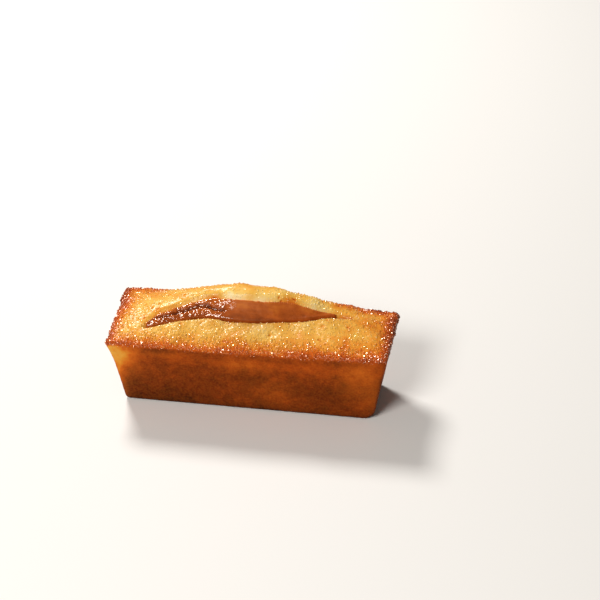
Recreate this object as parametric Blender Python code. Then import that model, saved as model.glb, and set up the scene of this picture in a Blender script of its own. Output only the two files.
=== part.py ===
"""A financier: a small bar cake, baked in a tapered mould, that has risen and split along its top
over a strip of fruit filling.

Metres, +Z up. X runs along the bar, -Y is its front, and the cake stands on its flat foot at z = 0.
"""

import bmesh
import bpy
from math import cos, exp, hypot, pi, radians, sin, sqrt
from mathutils import Vector
from mathutils.noise import noise

MM = 0.001
TINY = 0.01 * MM

# The block that the mould gives
LENGTH = 85.2 * MM
WIDTH = 30.0 * MM
RIM_HEIGHT = 23.3 * MM
WALL_LEAN = 4.2 * MM
CORNER_RADIUS = 1.2 * MM
FOOT_RADIUS = 0.9 * MM

# The rim, where the batter crept over the mould's edge
RIM_RADIUS = 0.6 * MM
RIM_FLARE = 0.5 * MM
FLARE_HEIGHT = 8.0 * MM
RIM_BAND = 2.2 * MM
RIM_TWIST = 0.8 * MM
BACK_RISE = 0.7 * MM

# The risen top: a low dome all over, and a taller lobe behind the split
DOME_HEIGHT = 3.9 * MM
DOME_FLATNESS = 4
LOBE_HEIGHT = 6.4 * MM
LOBE_REACH = 38.0 * MM
LOBE_MIDDLE = -1.5 * MM
LOBE_SKEW = 1.15
LOBE_SOFTNESS = 0.3
LIP_ROLL = 0.5 * MM
LIP_WIDTH = 1.3 * MM

# The split, from its left tip to its right one: x, y and half its width
SPLIT = [
    (-33.0 * MM, -7.8 * MM, 0.3 * MM),
    (-28.5 * MM, -5.2 * MM, 1.4 * MM),
    (-21.5 * MM, -2.4 * MM, 1.8 * MM),
    (-13.5 * MM, -0.2 * MM, 2.0 * MM),
    (-4.5 * MM, -0.9 * MM, 2.1 * MM),
    (3.5 * MM, -0.4 * MM, 2.0 * MM),
    (10.5 * MM, 1.1 * MM, 2.0 * MM),
    (17.0 * MM, 2.1 * MM, 1.4 * MM),
    (22.5 * MM, 4.2 * MM, 0.5 * MM),
    (29.0 * MM, 4.6 * MM, 0.3 * MM),
]
SPLIT_WIDEST = max(half for _, _, half in SPLIT)
SPLIT_DEPTH = 5.0 * MM
NARROW_DEPTH = 0.7
TIP_FADE = 8.0 * MM
TIP_RISE = 2.5 * MM
TROUGH_FULLNESS = 0.3

# The filling that lies in the split
GAP = 0.3 * MM
FILLING_START = -31.2 * MM
FILLING_END = 24.0 * MM
FILLING_TAPER = 3.0 * MM
BLUNTNESS = 0.35
FILLING_SINK = 0.35 * MM
FILLING_HOLLOW = 0.35 * MM
RIDGE_HEIGHT = 0.45 * MM
RIDGES_START = -8.0 * MM
RIDGES_FADE = 8.0 * MM

# How uneven the baked surfaces are, and the length of the waves in them
WALL_UNEVENNESS = 0.22 * MM
RIM_UNEVENNESS = 0.35 * MM
TOP_UNEVENNESS = 0.40 * MM
WALL_SHARE = 8
WALL_WAVE = 14.0 * MM
RIM_WAVE = 4.0 * MM
TOP_WAVE = 5.0 * MM

# The finishes: a colour and a roughness each
CRUMB_COLOUR = (0.62, 0.28, 0.08)
CRUMB_ROUGHNESS = 0.6
FRUIT_COLOUR = (0.35, 0.10, 0.03)
FRUIT_ROUGHNESS = 0.25

# How finely the surfaces are divided
STEPS_LONG = 50
STEPS_BESIDE_SPLIT = 7
STEPS_ACROSS_SPLIT = 12
STEPS_TALL = 6
ROUND_STEPS = 3
SPLIT_BAND = 3.0 * MM
SECTIONS = 44
FACE_POINTS = 9
SMOOTH_BELOW = radians(36.0)


def clamp(value, low=0.0, high=1.0):
    return max(low, min(high, value))


def smooth(value):
    """An S-curve from 0 to 1."""
    t = clamp(value)
    return t * t * (3.0 - 2.0 * t)


def mix(start, end, t):
    return start + (end - start) * t


def uneven(place, wave, seed):
    """A gentle wander between about -1 and 1, the same on every run."""
    return 1.6 * noise(place / wave + Vector((seed, 0.37 * seed, -seed)))


def hermite(before, here, there, after, t):
    """A smooth value between here and there, with the slopes that the neighbours give."""
    slope_here = 0.5 * (there - before)
    slope_there = 0.5 * (after - here)
    t2 = t * t
    t3 = t2 * t
    value = (2 * t3 - 3 * t2 + 1) * here + (t3 - 2 * t2 + t) * slope_here
    return value + (3 * t2 - 2 * t3) * there + (t3 - t2) * slope_there


def split_at(x):
    """The split's middle line and half its width at x, which past a tip stay as they are there."""
    x = clamp(x, SPLIT[0][0], SPLIT[-1][0])
    last = len(SPLIT) - 1
    k = max(i for i in range(last) if SPLIT[i][0] <= x)
    around = [SPLIT[max(0, min(last, k + step))] for step in (-1, 0, 1, 2)]
    t = (x - around[1][0]) / (around[2][0] - around[1][0])
    middle = hermite(*(knot[1] for knot in around), t)
    half = hermite(*(knot[2] for knot in around), t)
    return middle, half


def past_tip(x):
    """How far x lies beyond the split's nearer tip, and 0 between the tips."""
    return max(0.0, SPLIT[0][0] - x, x - SPLIT[-1][0])


def away_from_split(x, y):
    """0 in the split and at its lips, rising to 1 a little way from it."""
    middle, half = split_at(x)
    return smooth((abs(y - middle) - half - GAP) / SPLIT_BAND + past_tip(x) / TIP_RISE)


def top_height(x, y):
    """How far the smooth top stands above the rim."""
    along = 1.0 - min(1.0, abs(2.0 * x / LENGTH)) ** DOME_FLATNESS
    across = 1.0 - min(1.0, abs(2.0 * y / WIDTH)) ** 2
    dome = DOME_HEIGHT * along * across
    middle, half = split_at(x)
    front_lip = middle - half
    behind = (y - front_lip) / (WIDTH / 2 - front_lip)
    if behind <= 0.0 or behind >= 1.0:
        return dome
    skew = LOBE_SKEW + LOBE_SOFTNESS * (1.0 - half / SPLIT_WIDEST)
    swell = 0.5 + 0.5 * cos(pi * clamp((x - LOBE_MIDDLE) / LOBE_REACH, -1.0, 1.0))
    roll = exp(-((y - middle - half) / LIP_WIDTH) ** 2) * half / SPLIT_WIDEST
    return dome + LOBE_HEIGHT * swell * sin(pi * behind ** skew) + LIP_ROLL * roll


def split_depth(x, half):
    """The split is shallower where it is narrow, and runs out to nothing at its tips."""
    from_tip = min(x - SPLIT[0][0], SPLIT[-1][0] - x)
    return SPLIT_DEPTH * (half / SPLIT_WIDEST) ** NARROW_DEPTH * clamp(from_tip / TIP_RISE)


def trough(across):
    """The split's round-bottomed section: 0 at the lips, across -1 and 1, and 1 in the middle."""
    return max(0.0, 1.0 - across * across) ** TROUGH_FULLNESS


def crumb_top(x, row, half_width):
    """The cake's top at x, on the grid's straight line row: its y, and its height above the rim.

    The lines within SPLIT_BAND of the middle follow the split and dip into it, and the others
    spread out between its lips and the rim.
    """
    middle, half = split_at(x)
    fade = smooth(past_tip(x) / TIP_FADE)
    middle = mix(middle, 0.0, fade)
    band = mix(half + GAP, SPLIT_BAND, fade)
    if abs(row) > SPLIT_BAND:
        side = 1.0 if row > 0.0 else -1.0
        outward = (abs(row) - SPLIT_BAND) / (half_width - SPLIT_BAND)
        y = mix(middle + side * band, side * half_width, outward)
        return y, top_height(x, y)
    across = row / SPLIT_BAND
    y = middle + band * across
    height = top_height(x, y)
    if past_tip(x) > 0.0:
        return y, height
    front = top_height(x, middle - band)
    back = top_height(x, middle + band)
    dip = (split_depth(x, half) + GAP) * trough(across)
    return y, mix(front, back, 0.5 + 0.5 * across) - dip


def warp(x, y):
    """How far the top is lifted: it rises to the back, and is twisted up at the back left corner."""
    back = 0.5 + y / WIDTH
    return BACK_RISE * back - RIM_TWIST * (2.0 * x / LENGTH) * (2.0 * y / WIDTH)


def inset_at(z):
    """How far the wall at height z stands inside the rim's widest outline."""
    lean = WALL_LEAN * (1.0 - z / RIM_HEIGHT)
    flare = RIM_FLARE * (1.0 - smooth((z - RIM_HEIGHT + FLARE_HEIGHT) / FLARE_HEIGHT))
    foot = FOOT_RADIUS - min(z, FOOT_RADIUS)
    foot_round = FOOT_RADIUS - sqrt(max(0.0, FOOT_RADIUS ** 2 - foot ** 2))
    rim = max(0.0, z - (RIM_HEIGHT - RIM_RADIUS))
    rim_round = RIM_RADIUS - sqrt(max(0.0, RIM_RADIUS ** 2 - rim ** 2))
    return lean + flare + foot_round + rim_round


def round_corner(x, y, half_length, half_width):
    """Moves a point of a rectangle to its place in the same rectangle with round corners."""
    over_x = abs(x) - (half_length - CORNER_RADIUS)
    over_y = abs(y) - (half_width - CORNER_RADIUS)
    if over_x <= 0.0 or over_y <= 0.0:
        return x, y
    shrink = max(over_x, over_y) / hypot(over_x, over_y)
    x_sign = 1.0 if x > 0.0 else -1.0
    y_sign = 1.0 if y > 0.0 else -1.0
    new_x = x_sign * (half_length - CORNER_RADIUS + over_x * shrink)
    new_y = y_sign * (half_width - CORNER_RADIUS + over_y * shrink)
    return new_x, new_y


def corner_cuts(half):
    """Cuts through the two round corners at the ends of a side."""
    cuts = [half - CORNER_RADIUS * k / ROUND_STEPS for k in range(1, ROUND_STEPS + 1)]
    return cuts + [-cut for cut in cuts]


def cuts_along():
    """Cuts across the bar, from end to end."""
    inner = LENGTH / 2 - CORNER_RADIUS
    even = [mix(-inner, inner, k / STEPS_LONG) for k in range(1, STEPS_LONG)]
    return corner_cuts(LENGTH / 2) + even


def cuts_across():
    """Cuts along the bar: beside the split, and closer together where the split will be."""
    inner = WIDTH / 2 - CORNER_RADIUS
    beside = [mix(inner, SPLIT_BAND, k / STEPS_BESIDE_SPLIT) for k in range(1, STEPS_BESIDE_SPLIT)]
    inside = [-SPLIT_BAND * cos(pi * k / STEPS_ACROSS_SPLIT) for k in range(STEPS_ACROSS_SPLIT + 1)]
    return corner_cuts(WIDTH / 2) + beside + [-cut for cut in beside] + inside


def cuts_up():
    """Cuts up the bar: the round foot, the wall and the round rim."""
    angles = [pi / 2 * k / ROUND_STEPS for k in range(1, ROUND_STEPS + 1)]
    foot = [FOOT_RADIUS * (1.0 - cos(angle)) for angle in angles]
    rim = [RIM_HEIGHT - RIM_RADIUS + RIM_RADIUS * sin(angle) for angle in angles[:-1]]
    high = RIM_HEIGHT - RIM_RADIUS
    wall = [mix(FOOT_RADIUS, high, k / STEPS_TALL) for k in range(1, STEPS_TALL + 1)]
    return foot + wall + rim


def sliced_block():
    """A plain block of the cake's length, width and rim height, cut into a grid."""
    bm = bmesh.new()
    bmesh.ops.create_cube(bm, size=1.0)
    bmesh.ops.scale(bm, vec=(LENGTH, WIDTH, RIM_HEIGHT), verts=bm.verts)
    bmesh.ops.translate(bm, vec=(0.0, 0.0, RIM_HEIGHT / 2), verts=bm.verts)
    cuts = [(Vector((x, 0.0, 0.0)), Vector((1.0, 0.0, 0.0))) for x in cuts_along()]
    cuts += [(Vector((0.0, y, 0.0)), Vector((0.0, 1.0, 0.0))) for y in cuts_across()]
    cuts += [(Vector((0.0, 0.0, z)), Vector((0.0, 0.0, 1.0))) for z in cuts_up()]
    for point, direction in cuts:
        everything = bm.verts[:] + bm.edges[:] + bm.faces[:]
        bmesh.ops.bisect_plane(bm, geom=everything, plane_co=point, plane_no=direction)
    return bm


def baked(point):
    """Where a point of the sliced block is on the baked cake."""
    inset = inset_at(point.z)
    half_length = LENGTH / 2 - inset
    half_width = WIDTH / 2 - inset
    x = point.x * 2.0 * half_length / LENGTH
    row = point.y * 2.0 * half_width / WIDTH
    x, row = round_corner(x, row, half_length, half_width)
    y = row
    z = point.z
    if z > RIM_HEIGHT - TINY:
        y, height = crumb_top(x, row, half_width)
        z += height
    place = Vector((x, y, z))
    near_wall = max(abs(x) / half_length, abs(y) / half_width) ** WALL_SHARE
    near_rim = exp(-((RIM_HEIGHT - point.z) / RIM_BAND) ** 2)
    push = WALL_UNEVENNESS * uneven(place, WALL_WAVE, 3.0) * smooth(point.z / FLARE_HEIGHT)
    push += RIM_UNEVENNESS * near_rim * uneven(place, RIM_WAVE, 11.0)
    lift = warp(x, y) * point.z / RIM_HEIGHT
    if point.z > RIM_HEIGHT - RIM_RADIUS:
        lift += TOP_UNEVENNESS * away_from_split(x, y) * uneven(place, TOP_WAVE, 7.0)
    outward = Vector((x, y, 0.0)).normalized() * push * near_wall
    return place + outward + Vector((0.0, 0.0, lift))


def flatten_foot(bm):
    """Makes one flat face of the grid under the cake."""
    under = [face for face in bm.faces if all(vert.co.z < TINY for vert in face.verts)]
    bmesh.ops.dissolve_faces(bm, faces=under, use_verts=True)


def filling_section(x):
    """The filling's outline at x: its face from the front lip to the back one, then its trough back."""
    middle, half = split_at(x)
    front = top_height(x, middle - half) - FILLING_SINK
    back = top_height(x, middle + half) - FILLING_SINK
    depth = split_depth(x, half) - FILLING_SINK
    from_end = clamp(min(x - FILLING_START, FILLING_END - x) / FILLING_TAPER)
    half *= mix(BLUNTNESS, 1.0, sqrt(from_end))
    ridged = smooth((RIDGES_START - x) / RIDGES_FADE)
    outline = []
    for k in range(FACE_POINTS):
        t = k / (FACE_POINTS - 1)
        hollow = FILLING_HOLLOW * sin(pi * t) * (1.0 - ridged)
        ridge = RIDGE_HEIGHT * sin(2.0 * pi * t) ** 2 * ridged
        height = mix(front, back, t) + (ridge - hollow) * half / SPLIT_WIDEST
        y = middle + half * (2.0 * t - 1.0)
        outline.append(Vector((x, y, RIM_HEIGHT + warp(x, y) + height)))
    for k in range(1, STEPS_ACROSS_SPLIT):
        across = cos(pi * k / STEPS_ACROSS_SPLIT)
        height = mix(front, back, 0.5 + 0.5 * across) - depth * trough(across)
        y = middle + half * across
        outline.append(Vector((x, y, RIM_HEIGHT + warp(x, y) + height)))
    return outline


def filling_form():
    """The closed strip of filling, with its sections closer together towards its tips."""
    bm = bmesh.new()
    rings = []
    for k in range(SECTIONS + 1):
        x = mix(FILLING_START, FILLING_END, 0.5 - 0.5 * cos(pi * k / SECTIONS))
        rings.append([bm.verts.new(point) for point in filling_section(x)])
    count = len(rings[0])
    for ring, following in zip(rings, rings[1:]):
        for i in range(count):
            j = (i + 1) % count
            bm.faces.new((ring[i], ring[j], following[j], following[i]))
    bm.faces.new(reversed(rings[0]))
    bm.faces.new(rings[-1])
    bmesh.ops.recalc_face_normals(bm, faces=bm.faces)
    return bm


def material(name, colour, roughness):
    """A plain finish for one sub-part."""
    made = bpy.data.materials.new(name)
    made.use_nodes = True
    shader = made.node_tree.nodes["Principled BSDF"]
    shader.inputs["Base Color"].default_value = (*colour, 1.0)
    shader.inputs["Roughness"].default_value = roughness
    shader.inputs["Metallic"].default_value = 0.0
    return made


def add_object(name, bm, place, finish):
    """Turns a bmesh into a named, smoothly shaded object at its place."""
    mesh = bpy.data.meshes.new(name)
    bm.to_mesh(mesh)
    bm.free()
    mesh.materials.append(finish)
    mesh.shade_smooth()
    mesh.set_sharp_from_angle(angle=SMOOTH_BELOW)
    made = bpy.data.objects.new(name, mesh)
    made.location = place
    bpy.context.scene.collection.objects.link(made)


def centring(bm):
    """The small move that puts the middle of the uneven cake over the origin."""
    xs = [vert.co.x for vert in bm.verts]
    ys = [vert.co.y for vert in bm.verts]
    return Vector((-(min(xs) + max(xs)) / 2, -(min(ys) + max(ys)) / 2, 0.0))


def build():
    for old in list(bpy.data.objects):
        bpy.data.objects.remove(old)
    block = sliced_block()
    for vert in block.verts:
        vert.co = baked(vert.co)
    flatten_foot(block)
    place = centring(block)
    crumb = material("baked_crumb", CRUMB_COLOUR, CRUMB_ROUGHNESS)
    fruit = material("fruit_filling", FRUIT_COLOUR, FRUIT_ROUGHNESS)
    add_object("cake", block, place, crumb)
    add_object("filling", filling_form(), place, fruit)


build()
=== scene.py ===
# %% [markdown]
# # A financier, split along its top
#
# A financier is a small almond cake baked in a bar-shaped mould. The mould leaves smooth, leaning
# walls with a browned skin, and the open top rises, splits and dries to a grainy golden crust. This
# one has a strip of soft fruit in the split.
#
# The imported model gives the true form and size. Everything below dresses that form: we take a copy
# of each solid, give it a finer skin, press relief into it, and paint it by how far it has baked,
# with some painted light and shade besides.

from math import cos, pi, radians, sin

import bpy
import numpy as np
from mathutils import Euler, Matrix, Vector
from mathutils.bvhtree import BVHTree
from mathutils.kdtree import KDTree
from mathutils.noise import noise


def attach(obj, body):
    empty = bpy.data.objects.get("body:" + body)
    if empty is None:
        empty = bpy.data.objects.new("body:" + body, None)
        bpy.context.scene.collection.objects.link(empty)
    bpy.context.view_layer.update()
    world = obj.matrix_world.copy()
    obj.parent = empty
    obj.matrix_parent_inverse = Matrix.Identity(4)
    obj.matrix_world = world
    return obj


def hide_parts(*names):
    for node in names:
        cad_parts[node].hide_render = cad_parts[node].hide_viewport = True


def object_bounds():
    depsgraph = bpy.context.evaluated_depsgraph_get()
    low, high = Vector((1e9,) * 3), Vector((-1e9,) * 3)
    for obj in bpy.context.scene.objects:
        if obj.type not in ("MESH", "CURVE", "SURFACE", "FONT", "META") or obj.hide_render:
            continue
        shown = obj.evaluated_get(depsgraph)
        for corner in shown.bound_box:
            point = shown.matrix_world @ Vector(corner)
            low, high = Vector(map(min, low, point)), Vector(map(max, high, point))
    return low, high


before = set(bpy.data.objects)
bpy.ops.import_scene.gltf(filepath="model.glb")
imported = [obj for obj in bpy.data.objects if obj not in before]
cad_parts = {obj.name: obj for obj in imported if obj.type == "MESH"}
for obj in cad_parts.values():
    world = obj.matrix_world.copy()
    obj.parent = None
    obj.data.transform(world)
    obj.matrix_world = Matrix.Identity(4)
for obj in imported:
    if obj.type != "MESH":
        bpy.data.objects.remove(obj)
cad_low, cad_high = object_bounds()
MM = 0.001
print("box of the frame in mm:", [round(v / MM, 1) for v in cad_high - cad_low])

# %% [markdown]
# ## The camera
#
# A long lens from a little above gives the near-parallel look of a product photograph. The camera
# stands about 77 cm away and 31 degrees up, slightly to the right of the cake's front. It aims past
# the cake, because the cake sits low and left in the picture.

# %% Place the camera
CAMERA_TURN = radians(9.0)
CAMERA_RISE = radians(31.0)
CAMERA_DISTANCE = 765 * MM
CAMERA_AIM = Vector((5.28, 55.49, 0.0)) * MM
LENS = 141.2

camera_data = bpy.data.cameras.new("long_lens")
camera_data.lens = LENS
camera_data.sensor_width = 36.0
camera = bpy.data.objects.new("camera", camera_data)
bpy.context.scene.collection.objects.link(camera)
level = cos(CAMERA_RISE)
backwards = Vector((sin(CAMERA_TURN) * level, -cos(CAMERA_TURN) * level, sin(CAMERA_RISE)))
camera.location = CAMERA_AIM + CAMERA_DISTANCE * backwards
camera.rotation_euler = (-backwards).to_track_quat("-Z", "Y").to_euler()
bpy.context.scene.camera = camera

# %% [markdown]
# ## Working on one piece at a time
#
# Blender's operators act on whatever is selected, and loading the frame leaves its solids selected.
# So before each job we select one piece alone. Modifiers are added with their settings and applied
# straight away, which leaves a plain mesh for the next step.


# %% Helpers for selecting and for modifiers
def only(piece):
    """Selects this piece and nothing else."""
    bpy.ops.object.select_all(action="DESELECT")
    piece.select_set(True)
    bpy.context.view_layer.objects.active = piece


def shape_with(piece, kind, **settings):
    """Adds a modifier with these settings and applies it."""
    only(piece)
    bpy.ops.object.modifier_add(type=kind)
    modifier = piece.modifiers[-1]
    for name, value in settings.items():
        setattr(modifier, name, value)
    bpy.ops.object.modifier_apply(modifier=modifier.name)


def triangles(piece):
    """How many triangles the piece's faces come to."""
    return sum(len(face.vertices) - 2 for face in piece.data.polygons)


# %% [markdown]
# ## A finer skin over the solid
#
# The frame's solids are loose triangles a millimetre or two across, too coarse for a grainy crust.
# We merge a copy, remesh it into small even squares, and relax it so that the squares' stair steps
# go. It is relaxed only a few times, so the form hardly changes.


# %% Make a fine blank from a solid
def blank(node, name, voxel, relax):
    """A finely and evenly meshed copy of one solid of the frame."""
    made = bpy.data.objects.new(name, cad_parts[node].data.copy())
    bpy.context.scene.collection.objects.link(made)
    made.data.materials.clear()
    only(made)
    bpy.ops.object.mode_set(mode="EDIT")
    bpy.ops.mesh.select_all(action="SELECT")
    bpy.ops.mesh.remove_doubles(threshold=0.00001)
    bpy.ops.object.mode_set(mode="OBJECT")
    shape_with(made, "REMESH", mode="VOXEL", voxel_size=voxel)
    shape_with(made, "SMOOTH", factor=0.5, iterations=relax)
    return made


crumb = blank("cake", "crumb", 0.50 * MM, 3)
print("the crumb's blank has", triangles(crumb), "triangles")

# %% [markdown]
# ## Where things are on the cake
#
# Relief and colour depend on place: how far a point is from the rim's edge, how far below the rim,
# how far from the fruit. We measure these for all points at once with numpy. The nearest point of
# the fruit comes from a search tree built on the frame's own filling.


# %% Measure places on a piece
RIM_HEIGHT = 23.3 * MM
RIM_TWIST = 0.8 * MM
BACK_RISE = 0.7 * MM
half_length = (cad_high.x - cad_low.x) / 2
half_width = (cad_high.y - cad_low.y) / 2


def smooth(values):
    """An S-curve from 0 to 1, for numbers or arrays."""
    t = np.clip(values, 0.0, 1.0)
    return t * t * (3.0 - 2.0 * t)


def bell(values, reach):
    """1 where the values are 0, falling softly to nothing past the reach."""
    return np.exp(-((values / reach) ** 2))


def places(piece):
    """The piece's points, one row each, in metres."""
    flat = np.empty(len(piece.data.vertices) * 3)
    piece.data.vertices.foreach_get("co", flat)
    return flat.reshape(-1, 3)


def directions(piece):
    """The way the surface faces at each point."""
    flat = np.empty(len(piece.data.vertices) * 3)
    piece.data.vertex_normals.foreach_get("vector", flat)
    return flat.reshape(-1, 3)


def below_rim(at):
    """How far each point is below the warped rim."""
    across = at[:, 1] / half_width
    warp = BACK_RISE * (0.5 + across / 2) - RIM_TWIST * (at[:, 0] / half_length) * across
    return RIM_HEIGHT + warp - at[:, 2]


def from_edge(at):
    """How far each point is inside the rim's outline, seen from above."""
    return np.minimum(half_length - np.abs(at[:, 0]), half_width - np.abs(at[:, 1]))


fruit_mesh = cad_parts["filling"].data
fruit_points = [point.co for point in fruit_mesh.vertices]
fruit_faces = [face.vertices for face in fruit_mesh.polygons]
fruit_tree = BVHTree.FromPolygons(fruit_points, fruit_faces)


def from_fruit(at):
    """Each point's distance from the fruit, and 1 where it lies behind it or 0 in front."""
    found = [fruit_tree.find_nearest(Vector(point)) for point in at]
    distance = np.array([hit[3] for hit in found])
    behind = np.array([float(point[1] > hit[0].y) for point, hit in zip(at, found)])
    return distance, behind


def waves(at, length, seed):
    """A smooth random value at each point, about -1 to 1, with waves of this length."""
    shift = Vector((seed, seed * 0.37, -seed))
    return np.array([noise(Vector(point) / length + shift) for point in at]) * 1.6


# %% [markdown]
# ## A closer mesh where the crust is
#
# Only the top and the rim are grainy. We pick their faces by place, in object mode, and subdivide
# just those in edit mode. The walls keep their larger squares, and so does the groove that the fruit
# hides.

# %% Subdivide the top and the rim
CRUST_DEPTH = 1.6 * MM
CRUST_FADE = 1.2 * MM
WALL_ZONE = 6.5 * MM


def crust_share(at):
    """1 on the grainy top and rim, 0 on the smooth walls and foot."""
    share = smooth((CRUST_DEPTH - below_rim(at)) / CRUST_FADE)
    inside = (from_edge(at) > WALL_ZONE) & (at[:, 2] > RIM_HEIGHT / 2)
    return np.where(inside, 1.0, share)


def pick_faces(piece, chosen):
    """Selects the faces whose points are all chosen."""
    piece.data.vertices.foreach_set("select", np.zeros(len(piece.data.vertices), bool))
    piece.data.edges.foreach_set("select", np.zeros(len(piece.data.edges), bool))
    picked = [bool(chosen[list(face.vertices)].all()) for face in piece.data.polygons]
    piece.data.polygons.foreach_set("select", picked)


at = places(crumb)
fruit_distance, behind_fruit = from_fruit(at)
pick_faces(crumb, (crust_share(at) > 0.3) & (fruit_distance > 0.4 * MM))
only(crumb)
bpy.ops.object.mode_set(mode="EDIT")
bpy.ops.mesh.select_mode(type="FACE")
bpy.ops.mesh.subdivide(number_cuts=1, smoothness=0.0)
bpy.ops.object.mode_set(mode="OBJECT")
shape_with(crumb, "SMOOTH", factor=0.5, iterations=2)
print("with a closer crust it has", triangles(crumb), "triangles")

# %% [markdown]
# ## Pebbles and a knobbly rim
#
# As the crust dries, sugar and almond swell into small pebbles. A Displace modifier pushes the skin
# in or out by a texture. A Voronoi texture is lowest in the middle of each of its cells, so with a
# negative height the cells turn into rounded pebbles. Vertex groups, filled in from the places
# measured above, say how strongly each texture works where: the crust is grainier in some stretches
# than in others, the lobe behind the split is nearly smooth, and the walls have only soft dents.


# %% Helpers for weights and textured relief
def weigh(piece, name, values, levels=40):
    """A vertex group with these weights, in a few dozen steps."""
    group = piece.vertex_groups.new(name=name)
    stepped = np.round(np.clip(values, 0.0, 1.0) * levels).astype(int)
    for level in range(1, levels + 1):
        group.add(np.flatnonzero(stepped == level).tolist(), level / levels, "REPLACE")


def pebbles(name, size):
    """A texture of rounded cells of this size."""
    made = bpy.data.textures.new(name, "VORONOI")
    made.noise_scale = size
    made.distance_metric = "DISTANCE"
    return made


def clouds(name, size):
    """A texture of soft lumps of this size."""
    made = bpy.data.textures.new(name, "CLOUDS")
    made.noise_scale = size
    return made


def emboss(piece, texture, height, middle, group):
    """Pushes the piece's skin out by the texture, up to this height."""
    shape_with(piece, "DISPLACE", texture=texture, texture_coords="LOCAL", direction="NORMAL",
               strength=height, mid_level=middle, vertex_group=group)


# %% Measure the crust
LOBE_MIDDLE = -1.0 * MM

at = places(crumb)
facing = directions(crumb)
facing_up = smooth((facing[:, 2] + 0.1) / 0.6)
facing_front = smooth((-facing[:, 1] - 0.25) / 0.6)
crust = crust_share(at)
edge = np.maximum(from_edge(at), 0.0)
fruit_distance, behind_fruit = from_fruit(at)
along_lobe = at[:, 0] - LOBE_MIDDLE
# The lip behind the split. It is painted paler: partly less browned, partly painted light falling on it
lip = behind_fruit * bell(fruit_distance, 3.0 * MM) * bell(along_lobe, 14.0 * MM)
risen = behind_fruit * bell(along_lobe, 18.0 * MM)
blotches = waves(at, 7.0 * MM, 5.0)
grainy = np.clip(0.70 - 0.60 * blotches + 0.5 * bell(edge, 3.0 * MM), 0.25, 1.0)
print("crust covers", round(100.0 * crust.mean()), "% of the crumb's points")

# %% Press the pebbles into the crust
away_from_fruit = smooth((fruit_distance - 0.3 * MM) / (1.5 * MM))
pebbly = away_from_fruit * (1.0 - 0.8 * risen) * grainy
weigh(crumb, "crust", crust * (0.15 + 0.85 * pebbly))
weigh(crumb, "rim", crust * bell(edge, 1.9 * MM) * (0.3 + 0.7 * facing_up))
weigh(crumb, "wall", 1.0 - crust)
emboss(crumb, pebbles("crust_pebbles", 1.05 * MM), height=-0.26 * MM, middle=0.42, group="crust")
emboss(crumb, pebbles("small_pebbles", 0.60 * MM), height=-0.08 * MM, middle=0.42, group="crust")
emboss(crumb, pebbles("rim_knobs", 1.25 * MM), height=-0.50 * MM, middle=0.50, group="rim")
emboss(crumb, clouds("wall_dents", 2.2 * MM), height=0.08 * MM, middle=0.50, group="wall")
relief = ((places(crumb) - at) * facing).sum(axis=1)
print("the relief runs from", round(relief.min() / MM, 2), "to", round(relief.max() / MM, 2), "mm")

# %% [markdown]
# ## Tears, burst bubbles and a crease
#
# Where the batter split late, its edge has torn in short dark cracks, and here and there a bubble
# burst and left a pit. Past the fruit's right tip the split runs on as a shallow crease. All of them
# are dents too small for a texture to place well. So we work out each point's distance from a few
# strokes and spots, and move the points in against the way they face.

# %% Cut the tears, the pits and the crease
# Each tear goes from one place to another, in mm: x along the cake, and how far behind the fruit
TEARS = [
    ((7.0, 1.5), (7.2, 1.9)), ((7.4, 0.7), (7.8, 1.0)), ((11.2, 1.9), (11.8, 1.7)),
    ((12.6, 0.7), (13.4, 0.5)), ((-12.9, 0.8), (-12.5, 1.0)), ((14.6, 0.2), (16.4, 0.2)),
]
TEAR_WIDTH = 0.22 * MM
TEAR_DEPTH = 0.30 * MM
# The crease goes from one x and y to another, in mm
PAST_TIP = ((22.5, 4.2), (29.0, 4.7))
PAST_TIP_WIDTH = 0.75 * MM
PAST_TIP_DEPTH = 0.55 * MM
PIT_COUNT = 34
PIT_DEPTH = 0.45 * MM
# How far a pit reaches is drawn between these two, in mm
PIT_REACHES = (0.22, 0.42)


def from_stroke(across, up, stroke):
    """Each point's distance from a straight stroke, in the plane of across and up."""
    start, end = np.array(stroke) * MM
    along = end - start
    t = ((across - start[0]) * along[0] + (up - start[1]) * along[1]) / (along @ along)
    t = np.clip(t, 0.0, 1.0)
    return np.hypot(across - start[0] - t * along[0], up - start[1] - t * along[1])


past_tip = crust * bell(from_stroke(at[:, 0], at[:, 1], PAST_TIP), PAST_TIP_WIDTH)
torn = np.zeros(len(at))
for stroke in TEARS:
    torn = np.maximum(torn, bell(from_stroke(at[:, 0], fruit_distance, stroke), TEAR_WIDTH))
torn *= behind_fruit * crust
dice = np.random.default_rng(4)
well_inside = (edge > 2.5 * MM) & (fruit_distance > 1.5 * MM)
open_crust = np.flatnonzero((crust > 0.9) & well_inside & (risen < 0.3))
pits = np.zeros(len(at))
for spot in dice.choice(open_crust, PIT_COUNT, replace=False):
    pit_reach = dice.uniform(*PIT_REACHES) * MM
    pits = np.maximum(pits, bell(np.linalg.norm(at - at[spot], axis=1), pit_reach))
sunk = torn * TEAR_DEPTH + pits * PIT_DEPTH + past_tip * PAST_TIP_DEPTH
moved = places(crumb) - directions(crumb) * sunk[:, None]
crumb.data.vertices.foreach_set("co", moved.ravel())
crumb.data.update()
print(len(TEARS), "tears and", PIT_COUNT, "burst bubbles")

# %% [markdown]
# ## A blunt corner
#
# Where batter doesn't quite fill a mould, a corner comes out blunt, and this cake has one such corner
# at its foot, at the right of the front. One soft push inwards does it. The push is strongest at the
# corner and dies away within a few millimetres.

# %% Blunt the foot's right front corner
BLUNT_REACH = 1.7 * MM
BLUNT_DEPTH = 0.95 * MM

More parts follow.
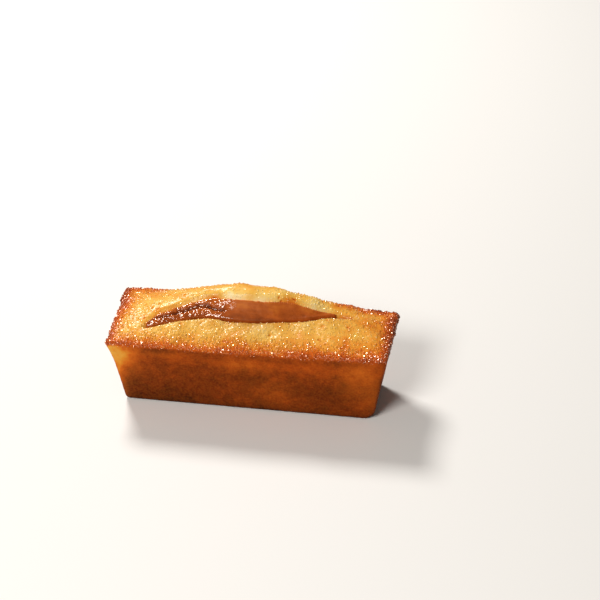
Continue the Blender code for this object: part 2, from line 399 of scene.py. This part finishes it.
at = places(crumb)
foot = at[at[:, 2] < 1.0 * MM]
blunt_corner = np.array((foot[:, 0].max(), foot[:, 1].min(), 0.0))
inward = np.array((-1.0, 1.0, 1.0)) / np.sqrt(3.0)
push = BLUNT_DEPTH * bell(np.linalg.norm(at - blunt_corner, axis=1), BLUNT_REACH)
crumb.data.vertices.foreach_set("co", (at + inward * push[:, None]).ravel())
crumb.data.update()
print("the corner went in by", round(push.max() / MM, 2), "mm")

# %% [markdown]
# ## How far each place has baked, with painted light and shade
#
# The bake is one number: 0 is pale batter and 1 is nearly burnt. It also carries painted shade in the
# cuts, in the crevice where the fruit meets the lip and at the foot of the walls. The top is golden in
# the middle and brown at the rim. The opened lip is palest, because it was exposed last, and it is
# painted paler still, as light falling on it. Fruit that crept up on it left two brown stains. The
# walls took the mould's heat, and soft patches at the front are golden. A second number says how much
# syrup has sunk in: much beside the split, and a trace on the walls. Beside the fruit's front edge it
# also carries painted shade. Both are kept as attributes of the mesh, which the material turns into
# colour.


# %% Helpers for painting
def keep(piece, name, values):
    """Stores one number for each point, for the material to read."""
    made = piece.data.attributes.new(name, "FLOAT", "POINT")
    made.data.foreach_set("value", values.astype(np.float32))


def patches(at, rows):
    """Soft oval patches on the walls, added up."""
    total = np.zeros(len(at))
    for strength, x, z, reach_x, reach_z in rows:
        total += strength * bell(at[:, 0] - x * MM, reach_x * MM) * bell(at[:, 2] - z * MM, reach_z * MM)
    return total


# %% How the top has browned, with painted light and shade
def top_browning_and_painted_light(at):
    """Golden in the middle and brown towards the rim, palest on the lip with painted light there.
    Every cut, and the crevice along the fruit, is darkened as painted shade.
    """
    x = at[:, 0]
    rim_width = 2.8 * MM * (1.0 + 0.35 * waves(at, 8.0 * MM, 14.0))
    rim = 0.14 * np.exp(-edge / (5.5 * MM)) + 0.27 * np.exp(-edge / rim_width)
    right_end = 0.16 * np.exp(-np.abs(half_length - x) / (3.2 * MM))
    left_end = 0.15 * np.exp(-np.abs(half_length + x) / (6.0 * MM))
    past_fruit = 0.11 * smooth((x - 24.0 * MM) / (10.0 * MM)) + 0.06 * bell(x - 28.0 * MM, 6.0 * MM)
    clouded = 0.08 * blotches * (1.0 - 0.6 * bell(edge, 3.0 * MM)) + 0.05 * waves(at, 2.5 * MM, 9.0)
    back_slope = 0.04 * smooth((14.0 * MM - x) / (10.0 * MM))
    # Painted shade in the crevice where the fruit meets the lip
    seam_shade = 0.25 * bell(fruit_distance, 0.35 * MM)
    right_stain = 0.45 * bell(fruit_distance, 2.3 * MM) * bell(x - 10.5 * MM, 2.8 * MM)
    left_stain = 0.405 * bell(fruit_distance, 1.5 * MM) * bell(x + 12.0 * MM, 2.4 * MM)
    behind = behind_fruit * (back_slope + seam_shade + right_stain + left_stain)
    # Painted shade in the tears, the pits and the crease past the fruit
    cut_shade = 0.32 * torn + 0.22 * pits + 0.12 * past_tip
    # The lip is palest: less browned, and painted paler as light falling on it
    return 0.22 + rim + right_end + left_end + past_fruit + clouded + behind + cut_shade - 0.24 * lip


# %% How the walls have browned, with painted shade at the foot
# Each patch is a row: its strength, then in mm its x, its z and how far it reaches along x and z
GOLD_PATCHES = [
    (0.60, 33.5, 15.5, 5.5, 7.0),
    (0.40, 39.5, 8.0, 3.0, 6.0),
    (0.25, 7.0, 8.0, 7.0, 5.0),
    (1.30, -38.0, 18.0, 4.4, 7.0),
    (0.30, -26.0, 19.5, 8.0, 1.4),
    (0.35, -1.0, 17.5, 7.0, 2.5),
    (1.60, -41.0, 12.0, 2.8, 12.0),
]
DARK_PATCHES = [
    (0.08, -22.0, 20.0, 10.0, 5.0),
    (0.06, -24.0, 5.0, 13.0, 6.0),
    (0.05, 21.0, 7.0, 5.0, 7.0),
    (0.05, 8.0, 19.0, 5.0, 5.0),
    (0.12, 40.5, 17.0, 2.5, 5.0),
]
MOST_GOLD = 1.7


def wall_gold(at):
    """Where the front wall is golden. The gold fades a little way round the corners."""
    round_the_corner = 0.5 * smooth((-at[:, 1] - 7.0 * MM) / (7.0 * MM))
    return np.minimum(patches(at, GOLD_PATCHES), MOST_GOLD) * np.maximum(facing_front, round_the_corner)


def wall_browning_and_foot_shade(at, gold):
    """Brown all over and lighter in a band below the rim. The foot is darkened as painted shade."""
    height = at[:, 2] / RIM_HEIGHT
    lighter_band = 0.14 * bell(height - 0.82, 0.19)
    # Painted shade at the foot, where the wall meets the floor
    foot_shade = 0.07 * bell(height, 0.14) + 0.08 * bell(height, 0.05)
    clouded = 0.05 * waves(at, 9.0 * MM, 21.0) + 0.03 * waves(at, 3.0 * MM, 25.0)
    at_the_front = smooth(-at[:, 1] / (4.0 * MM)) * (patches(at, DARK_PATCHES) - 0.24 * gold)
    return 0.83 - lighter_band + foot_shade + clouded + at_the_front


# %% Where syrup has sunk in, with painted shade beside the fruit
def syrup(at, gold):
    """A dark rim in front of the fruit, partly stain and partly painted shade, a wide faint stain there,
    the crease, and a trace on the walls.
    """
    close_reach = 0.7 * MM + 2.1 * MM * bell(at[:, 0], 9.0 * MM)
    # Beside the fruit's front edge: partly syrup stain and partly painted shade
    close_stain_and_shade = 0.62 * bell(fruit_distance, close_reach)
    wide = 0.34 * bell(fruit_distance, 10.0 * MM) * bell(at[:, 0] - 3.0 * MM, 28.0 * MM)
    on_crust = np.maximum((1.0 - behind_fruit) * (close_stain_and_shade + wide), 0.55 * past_tip)
    on_walls = 0.08 + 0.32 * np.minimum(gold, 0.4)
    return crust * on_crust + (1.0 - crust) * on_walls


# %% Paint the crumb
at = places(crumb)
gold = wall_gold(at)
under_rim = 0.05 * bell(below_rim(at) - 2.5 * MM, 1.4 * MM) * (edge < WALL_ZONE)
baked_and_painted_light = crust * top_browning_and_painted_light(at) + (1.0 - crust) * wall_browning_and_foot_shade(at, gold) + under_rim
keep(crumb, "browning_and_painted_light", baked_and_painted_light)
keep(crumb, "relief", relief / (0.3 * MM))
keep(crumb, "crustiness", crust * facing_up)
keep(crumb, "syrup_and_shade", syrup(at, gold))
crumb.data.shade_smooth()
print("the browning runs from", round(baked_and_painted_light.min(), 2), "to", round(baked_and_painted_light.max(), 2))

# %% [markdown]
# ## Melted sugar
#
# The crust sparkles because it is full of sugar that has melted and set again, in grains of a third
# of a millimetre to nearly one. A grain has small flat facets, and each one that happens to face
# halfway between the lamp and the eye flashes. Smooth beads would only shine dully, so we model one
# grain as a tiny block with its edges bevelled wide, and strew copies over the crust, each turned at
# random. The largest sit close together along the rim, and smaller ones lie over the top.
#
# Thousands of separate objects would be slow, so numpy writes the copies into just two meshes: one
# for the rim and one for the top.


# %% Model one grain
bpy.ops.object.select_all(action="DESELECT")
bpy.ops.mesh.primitive_cube_add(size=1.0, location=(0.0, 0.0, 0.0))
grain = bpy.context.active_object
grain.name = "one_grain"
bpy.ops.object.mode_set(mode="EDIT")
bpy.ops.mesh.select_all(action="SELECT")
bpy.ops.transform.resize(value=(1.0, 0.85, 0.72))
bpy.ops.mesh.bevel(offset=0.22, offset_type="OFFSET", segments=1, affect="EDGES")
bpy.ops.object.mode_set(mode="OBJECT")
print("one grain has", triangles(grain), "triangles")


# %% Helpers for strewing grains
# How far a grain may lie off its point, in spacings, so that no rows show
JITTER = 0.7


def spread(at, wanted, spacing, seed):
    """Points picked at random, where wanted is high and no two are closer than the spacing."""
    tree = KDTree(len(at))
    for index, point in enumerate(at):
        tree.insert(point, index)
    tree.balance()
    dice = np.random.default_rng(seed)
    free = dice.random(len(at)) < wanted
    chosen = []
    for index in dice.permutation(len(at)):
        if not free[index]:
            continue
        chosen.append(index)
        for _, near, _ in tree.find_range(at[index], spacing):
            free[near] = False
    return np.array(chosen)


def copies(name, pattern, centres, sizes, dice):
    """One mesh with a copy of the pattern at each centre, each turned at random."""
    corners = places(pattern)
    faces = [tuple(face.vertices) for face in pattern.data.polygons]
    points = []
    polygons = []
    for k, (centre, size) in enumerate(zip(centres, sizes)):
        turn = np.array(Euler(dice.uniform(0.0, 2.0 * pi, 3)).to_matrix())
        points.append(centre + size * corners @ turn)
        polygons += [[corner + k * len(corners) for corner in face] for face in faces]
    mesh = bpy.data.meshes.new(name)
    mesh.from_pydata(np.concatenate(points).tolist(), [], polygons)
    made = bpy.data.objects.new(name, mesh)
    bpy.context.scene.collection.objects.link(made)
    return made


def strew(name, wanted, spacing, smallest, largest, lift, painted_lightening, seed):
    """Grains sunk in the crumb where they are wanted, each about as brown as the crumb around it.

    lift says how far a grain's middle is above the skin, in grain widths. It is negative for grains
    that are more than half sunk. The next argument says how much lighter than the crumb a grain is
    painted, as painted light that softens its shaded sides.
    """
    at = places(crumb)
    chosen = spread(at, wanted, spacing, seed)
    dice = np.random.default_rng(seed + 1)
    sizes = dice.uniform(smallest, largest, len(chosen))
    outward = directions(crumb)[chosen]
    shift = dice.uniform(-JITTER, JITTER, (len(chosen), 3)) * spacing
    shift -= outward * (shift * outward).sum(axis=1, keepdims=True)
    made = copies(name, grain, at[chosen] + shift + outward * sizes[:, None] * lift, sizes, dice)
    # Each grain is painted a little lighter by the given amount, as painted light on its shaded sides
    changes = {"browning_and_painted_light": dice.uniform(-0.08, 0.04, len(chosen)) - painted_lightening, "syrup_and_shade": 0.0}
    for field, change in changes.items():
        values = np.empty(len(at), np.float32)
        crumb.data.attributes[field].data.foreach_get("value", values)
        keep(made, field, np.repeat(values[chosen] + change, len(grain.data.vertices)))
    print(name, "has", len(chosen), "grains and", triangles(made), "triangles")
    return made


# %% Strew the grains over the rim and the top
on_rim = crust * bell(edge, 2.6 * MM) * facing_up ** 2
clear_of_fruit = smooth((fruit_distance - 0.4 * MM) / (1.2 * MM))
on_top = 0.9 * crust * (1.0 - on_rim) * clear_of_fruit * (1.0 - 0.9 * risen) * grainy
rim_grains = strew("rim_grains", on_rim, spacing=0.52 * MM, smallest=0.42 * MM, largest=0.88 * MM,
                   lift=-0.09, painted_lightening=0.0, seed=11)
# The top grains are painted lighter, so that their shaded sides look less dark
top_grains = strew("top_grains", on_top, spacing=0.60 * MM, smallest=0.30 * MM, largest=0.60 * MM,
                   lift=-0.17, painted_lightening=0.06, seed=12)
bpy.data.objects.remove(grain)

# %% [markdown]
# ## The fruit
#
# A strip of soft cooked fruit lies in the split. Its solid stops a hair's breadth from the cake's, as
# parts do, but real fruit sticks to the crumb. We swell its blank a little so that it reaches just
# into the cake. Its right part is a smooth slice. Its left part is two wet strands with a dark crease
# between them, so there we press in a groove and wrinkle what is left.

# %% Make the fruit's blank
SWELLING = 0.34 * MM

fruit = blank("filling", "fruit", 0.20 * MM, 4)
shape_with(fruit, "DISPLACE", strength=SWELLING, mid_level=0.0)


def across_strip(at, slices=90):
    """Where each point is across the strip: 0 at its front edge and 1 at its back one."""
    bins = np.linspace(at[:, 0].min(), at[:, 0].max(), slices + 1)
    which = np.clip(np.digitize(at[:, 0], bins) - 1, 0, slices - 1)
    middles = (bins[1:] + bins[:-1]) / 2
    front = np.array([at[which == k, 1].min() for k in range(slices)])
    back = np.array([at[which == k, 1].max() for k in range(slices)])
    front = np.interp(at[:, 0], middles, front)
    back = np.interp(at[:, 0], middles, back)
    return (at[:, 1] - front) / (back - front)


# %% Press the crease and the wrinkles into the fruit
# The strands and their crease are placed along x, and across the strip from 0 to 1
STRANDS_END = -5.0 * MM
STRANDS_FADE = 6.0 * MM
CREASE_PLACE = 0.46
CREASE_WIDTH = 0.09
CREASE_DEPTH = 0.75 * MM

at = places(fruit)
across = across_strip(at)
wet = smooth((STRANDS_END - at[:, 0]) / STRANDS_FADE)
upward = np.clip(directions(fruit)[:, 2], 0.0, 1.0)
wander = 0.10 * waves(at * np.array([1.0, 0.0, 0.0]), 6.0 * MM, 31.0)
crease = bell(across - CREASE_PLACE - wander, CREASE_WIDTH) * wet * upward
moved = at - directions(fruit) * (crease * CREASE_DEPTH)[:, None]
fruit.data.vertices.foreach_set("co", moved.ravel())
fruit.data.update()
weigh(fruit, "wet", wet * upward)
weigh(fruit, "satin", (1.0 - wet) * upward)
emboss(fruit, clouds("folds", 1.5 * MM), height=0.80 * MM, middle=0.5, group="wet")
emboss(fruit, pebbles("wet_lumps", 0.9 * MM), height=-0.36 * MM, middle=0.4, group="wet")
emboss(fruit, clouds("soft_dents", 3.0 * MM), height=0.36 * MM, middle=0.5, group="satin")
print("the fruit strip has", triangles(fruit), "triangles")

# %% Keep what the fruit's finish needs
hollow = -((places(fruit) - at) * directions(fruit)).sum(axis=1)
keep(fruit, "wetness", wet)
keep(fruit, "across", across)
# How deep each point lies in a fold, for the painted shade in the folds
keep(fruit, "hollow", np.clip(hollow / (0.5 * MM), -1.0, 1.5))
fruit.data.shade_smooth()
print("the deepest fold is", round(hollow.max() / MM, 2), "mm deep")

# %% [markdown]
# ## Building materials from nodes
#
# Each material is a small tree of nodes. The helper adds one node, sets it up, and wires its inputs.
# The colours of ramps and stains are given as they look on a screen, 0 to 255, and turned into the
# linear values that the shader works in.


# %% Helpers for nodes and colours
def screen(red, green, blue):
    """A screen colour as linear light."""
    levels = [c / 255.0 for c in (red, green, blue)]
    return [c / 12.92 if c <= 0.04045 else ((c + 0.055) / 1.055) ** 2.4 for c in levels] + [1.0]


def put(tree, kind, wires=None, **settings):
    """Adds a node. wires gives each input a value, or another node's output to come from."""
    made = tree.nodes.new(kind)
    for name, value in settings.items():
        setattr(made, name, value)
    for name, value in (wires or {}).items():
        if isinstance(value, bpy.types.NodeSocket):
            tree.links.new(value, made.inputs[name])
        else:
            made.inputs[name].default_value = value
    return made


def sum_of(tree, first, second, scale):
    """first + second * scale."""
    return put(tree, "ShaderNodeMath", {0: second, 1: scale, 2: first}, operation="MULTIPLY_ADD").outputs[0]


def ramp(tree, factor, stops):
    """A colour ramp with these (position, colour) stops."""
    made = put(tree, "ShaderNodeValToRGB", {"Fac": factor})
    elements = made.color_ramp.elements
    while len(elements) < len(stops):
        elements.new(0.5)
    for element, (position, colour) in zip(elements, stops):
        element.position = position
        element.color = colour
    return made.outputs["Color"]


def attribute(tree, name):
    """The numbers that the mesh keeps under this name."""
    return put(tree, "ShaderNodeAttribute", attribute_name=name).outputs["Fac"]


def centred(tree, value):
    """A value from 0 to 1, moved to lie around 0."""
    return put(tree, "ShaderNodeMath", {0: value, 1: 0.5}, operation="SUBTRACT").outputs[0]


def noise_over(tree, place, scale, detail):
    """Noise from 0 to 1, with this many waves to the metre."""
    wires = {"Vector": place, "Scale": scale, "Detail": detail}
    return put(tree, "ShaderNodeTexNoise", wires).outputs["Fac"]


def between(tree, share, low, high):
    """A value that goes from low to high as the share goes from 0 to 1."""
    return put(tree, "ShaderNodeMapRange", {"Value": share, "To Min": low, "To Max": high}).outputs[0]


def bumps(tree, height, strength, depth):
    """The way the surface would face if it had bumps of this height."""
    wires = {"Height": height, "Strength": strength, "Distance": depth}
    return put(tree, "ShaderNodeBump", wires).outputs[0]


def wire(tree, shader, wires):
    """Connects these outputs to the shader's inputs."""
    for name, value in wires.items():
        tree.links.new(value, shader.inputs[name])


def new_finish(name):
    """An empty material, its node tree and its shader."""
    made = bpy.data.materials.new(name)
    made.use_nodes = True
    return made, made.node_tree, made.node_tree.nodes["Principled BSDF"]


# %% [markdown]
# ## Baked crumb
#
# The number for how far each place has browned, with the painted light and shade it carries, is
# stirred with noise and runs through a ramp from cream to dark brown. The syrup stain, with the
# painted shade beside the fruit's front edge, is laid over that. The crumb and the sugar share these
# colours, so they are a node group with two named inputs. The crust is glossier than the walls,
# because sugar melted on it.
# Hollows are painted a little darker than the pebbles' heads, as shade, which is what the relief
# attribute is for.

# %% The bake's colours, as a node group
BAKE_COLOURS = [
    (0.00, screen(255, 240, 184)),
    (0.14, screen(246, 208, 120)),
    (0.28, screen(235, 180, 78)),
    (0.42, screen(226, 144, 46)),
    (0.55, screen(208, 98, 24)),
    (0.68, screen(170, 70, 14)),
    (0.82, screen(124, 48, 9)),
    (1.00, screen(70, 24, 5)),
]
# Colour of the syrup stain, which also paints the shade beside the fruit's front edge
STAIN_AND_SHADE_COLOUR = screen(162, 102, 30)


def bake_colours():
    """A node group that turns how far a place has browned, and its syrup stain, into a colour.
    Both numbers also carry painted shade, and the first also painted light.
    """
    group = bpy.data.node_groups.new("bake_colours", "ShaderNodeTree")
    for name in ("Browning_and_painted_light", "Syrup_and_shade"):
        group.interface.new_socket(name=name, in_out="INPUT", socket_type="NodeSocketFloat")
    group.interface.new_socket(name="Color", in_out="OUTPUT", socket_type="NodeSocketColor")
    given = group.nodes.new("NodeGroupInput").outputs
    colour = ramp(group, given["Browning_and_painted_light"], BAKE_COLOURS)
    stained = put(group, "ShaderNodeMix", {"Factor": given["Syrup_and_shade"]}, data_type="RGBA")
    group.links.new(colour, stained.inputs["A"])
    stained.inputs["B"].default_value = STAIN_AND_SHADE_COLOUR
    result = group.nodes.new("NodeGroupOutput")
    group.links.new(stained.outputs["Result"], result.inputs["Color"])
    return group


def bake_colour(tree, browning_and_painted_light, syrup_and_shade):
    """The baked colour in one material's tree."""
    wires = {"Browning_and_painted_light": browning_and_painted_light, "Syrup_and_shade": syrup_and_shade}
    return put(tree, "ShaderNodeGroup", wires, node_tree=bake_group).outputs[0]


bake_group = bake_colours()


# %% The crumb's finish
def crumb_finish():
    """Baked crumb, mottled by noise, dull on the walls and glossier on the crust."""
    made, tree, shader = new_finish("baked_crumb")
    place = put(tree, "ShaderNodeTexCoord").outputs["Object"]
    crustiness = attribute(tree, "crustiness")
    spots = noise_over(tree, place, 500.0, 5.0)
    specks = noise_over(tree, place, 1700.0, 3.0)
    baked_and_painted_light = sum_of(tree, attribute(tree, "browning_and_painted_light"), centred(tree, spots), 0.22)
    baked_and_painted_light = sum_of(tree, baked_and_painted_light, centred(tree, specks), between(tree, crustiness, 0.16, 0.10))
    # Painted shade: hollows darker and pebble heads lighter, by the relief
    baked_and_painted_light = sum_of(tree, baked_and_painted_light, attribute(tree, "relief"), -0.07)
    syrup_and_shade = sum_of(tree, attribute(tree, "syrup_and_shade"), centred(tree, specks), -0.45)
    wire(tree, shader, {
        "Base Color": bake_colour(tree, baked_and_painted_light, syrup_and_shade),
        "Roughness": between(tree, crustiness, 0.70, 0.42),
        "Coat Weight": between(tree, crustiness, 0.0, 0.22),
        "Normal": bumps(tree, specks, 0.5, 0.10 * MM),
    })
    shader.inputs["Coat Roughness"].default_value = 0.20
    shader.inputs["Specular IOR Level"].default_value = 0.05
    return made


crumb.data.materials.append(crumb_finish())

# %% [markdown]
# ## The sugar's finish
#
# A grain takes its colour from the crumb it sits in, and nearly all its light from reflections. Only
# a few facets catch a lamp, so those have to be bright: a high index of refraction makes the
# reflections strong. Clear caramel lets light in and out again and tints it, which we copy by giving
# the reflections a warm colour. With neutral ones, the facets that mirror the dim room look grey.


# %% The sugar's finish
def sugar_finish():
    """Melted sugar, with strong warm reflections over the crumb's own colour."""
    made, tree, shader = new_finish("melted_sugar")
    colour = bake_colour(tree, attribute(tree, "browning_and_painted_light"), attribute(tree, "syrup_and_shade"))
    wire(tree, shader, {"Base Color": colour})
    shader.inputs["Roughness"].default_value = 0.20
    shader.inputs["IOR"].default_value = 2.2
    shader.inputs["Specular IOR Level"].default_value = 0.5
    shader.inputs["Specular Tint"].default_value = (1.0, 0.78, 0.60, 1.0)
    shader.inputs["Coat Weight"].default_value = 0.2
    shader.inputs["Coat Roughness"].default_value = 0.06
    return made


sugar = sugar_finish()
rim_grains.data.materials.append(sugar)
top_grains.data.materials.append(sugar)

# %% [markdown]
# ## Cooked fruit
#
# The fruit is a caramel red-brown, darker along its front, and more orange at the back, where it thins
# out over the crumb. Its creases are painted darker, as shade. Fibres run along it, so their noise is
# stretched along x.
# Its right part has a satin skin, and its left part is wet with syrup, so one attribute drives both
# the roughness and the clear coat.

# %% The fruit's finish
FRUIT_COLOURS = [
    (0.10, screen(90, 34, 8)),
    (0.35, screen(142, 64, 18)),
    (0.55, screen(176, 84, 26)),
    (0.75, screen(204, 112, 38)),
    (1.00, screen(234, 154, 62)),
]


def fruit_finish():
    """Cooked fruit, satin on the right and wet with syrup on the left."""
    made, tree, shader = new_finish("cooked_fruit")
    place = put(tree, "ShaderNodeTexCoord").outputs["Object"]
    stretched = put(tree, "ShaderNodeMapping", {"Vector": place, "Scale": (0.18, 1.0, 1.0)}).outputs[0]
    fibres = noise_over(tree, stretched, 600.0, 4.0)
    amber = noise_over(tree, place, 380.0, 2.0)
    wetness = attribute(tree, "wetness")
    tone = between(tree, attribute(tree, "across"), 0.40, 0.66)
    tone = sum_of(tree, tone, centred(tree, fibres), 0.40)
    tone = sum_of(tree, tone, centred(tree, amber), 0.35)
    # Folds are painted darker by their depth, as shade
    tone = sum_of(tree, tone, attribute(tree, "hollow"), -0.28)
    tone = sum_of(tree, tone, wetness, 0.05)
    wire(tree, shader, {
        "Base Color": ramp(tree, tone, FRUIT_COLOURS),
        "Roughness": between(tree, wetness, 0.50, 0.12),
        "Coat Weight": between(tree, wetness, 0.0, 0.7),
        "Normal": bumps(tree, fibres, 0.35, 0.15 * MM),
    })
    shader.inputs["Coat Roughness"].default_value = 0.05
    shader.inputs["Coat IOR"].default_value = 1.8
    shader.inputs["Specular IOR Level"].default_value = 0.25
    shader.inputs["Specular Tint"].default_value = (1.0, 0.72, 0.46, 1.0)
    return made


fruit.data.materials.append(fruit_finish())

# %% [markdown]
# ## Handing the pieces over
#
# Every piece is told which body of the frame it moves with. The crumb and the fruit take the place
# of their solids. The grains only add to the cake.

# %% Hand the pieces to the frame
DRESSED = [
    (crumb, "baked_crumb"),
    (rim_grains, "baked_crumb"),
    (top_grains, "baked_crumb"),
    (fruit, "fruit_filling"),
]
for piece, slot in DRESSED:
    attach(piece, "root")
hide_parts("cake")
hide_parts("filling")
print("handed over:", [piece.name for piece, _ in DRESSED])

# %% [markdown]
# ## Floor and light
#
# The cake stands on a plain pale floor. The main light is small and comes from high at the back left,
# so it sparkles on the crust towards the camera. A second, larger lamp in front keeps the front wall
# readable. Both are slightly warm, and so is the dim light from all around.


# %% Floor, lights and world
def area_light(name, place, aim, size, power, colour):
    """A round lamp at a place in metres, turned towards its aim."""
    data = bpy.data.lights.new(name, "AREA")
    data.shape = "DISK"
    data.size = size
    data.energy = power
    data.color = colour
    made = bpy.data.objects.new(name, data)
    bpy.context.scene.collection.objects.link(made)
    made.location = place
    made.rotation_euler = (Vector(aim) - Vector(place)).to_track_quat("-Z", "Y").to_euler()


bpy.ops.object.select_all(action="DESELECT")
bpy.ops.mesh.primitive_plane_add(size=6.0, location=(0.0, 0.0, 0.0))
floor = bpy.context.active_object
floor.name = "floor"
floor_finish, _, floor_shader = new_finish("pale_floor")
floor_shader.inputs["Base Color"].default_value = (0.86, 0.86, 0.86, 1.0)
floor_shader.inputs["Roughness"].default_value = 0.9
floor.data.materials.append(floor_finish)

WARM = (1.0, 0.96, 0.90)
CAKE_MIDDLE = (0.0, 0.0, 0.02)
area_light("sparkle", place=(-0.30, 0.42, 0.52), aim=CAKE_MIDDLE, size=0.20, power=4.6, colour=WARM)
area_light("front_softbox", place=(-0.22, -0.64, 0.58), aim=CAKE_MIDDLE, size=0.34, power=5.6, colour=WARM)
world = bpy.data.worlds.new("studio")
bpy.context.scene.world = world
world.use_nodes = True
room = world.node_tree.nodes["Background"]
room.inputs["Color"].default_value = (1.0, 0.90, 0.80, 1.0)
room.inputs["Strength"].default_value = 0.12
bpy.context.scene.view_settings.view_transform = "Standard"
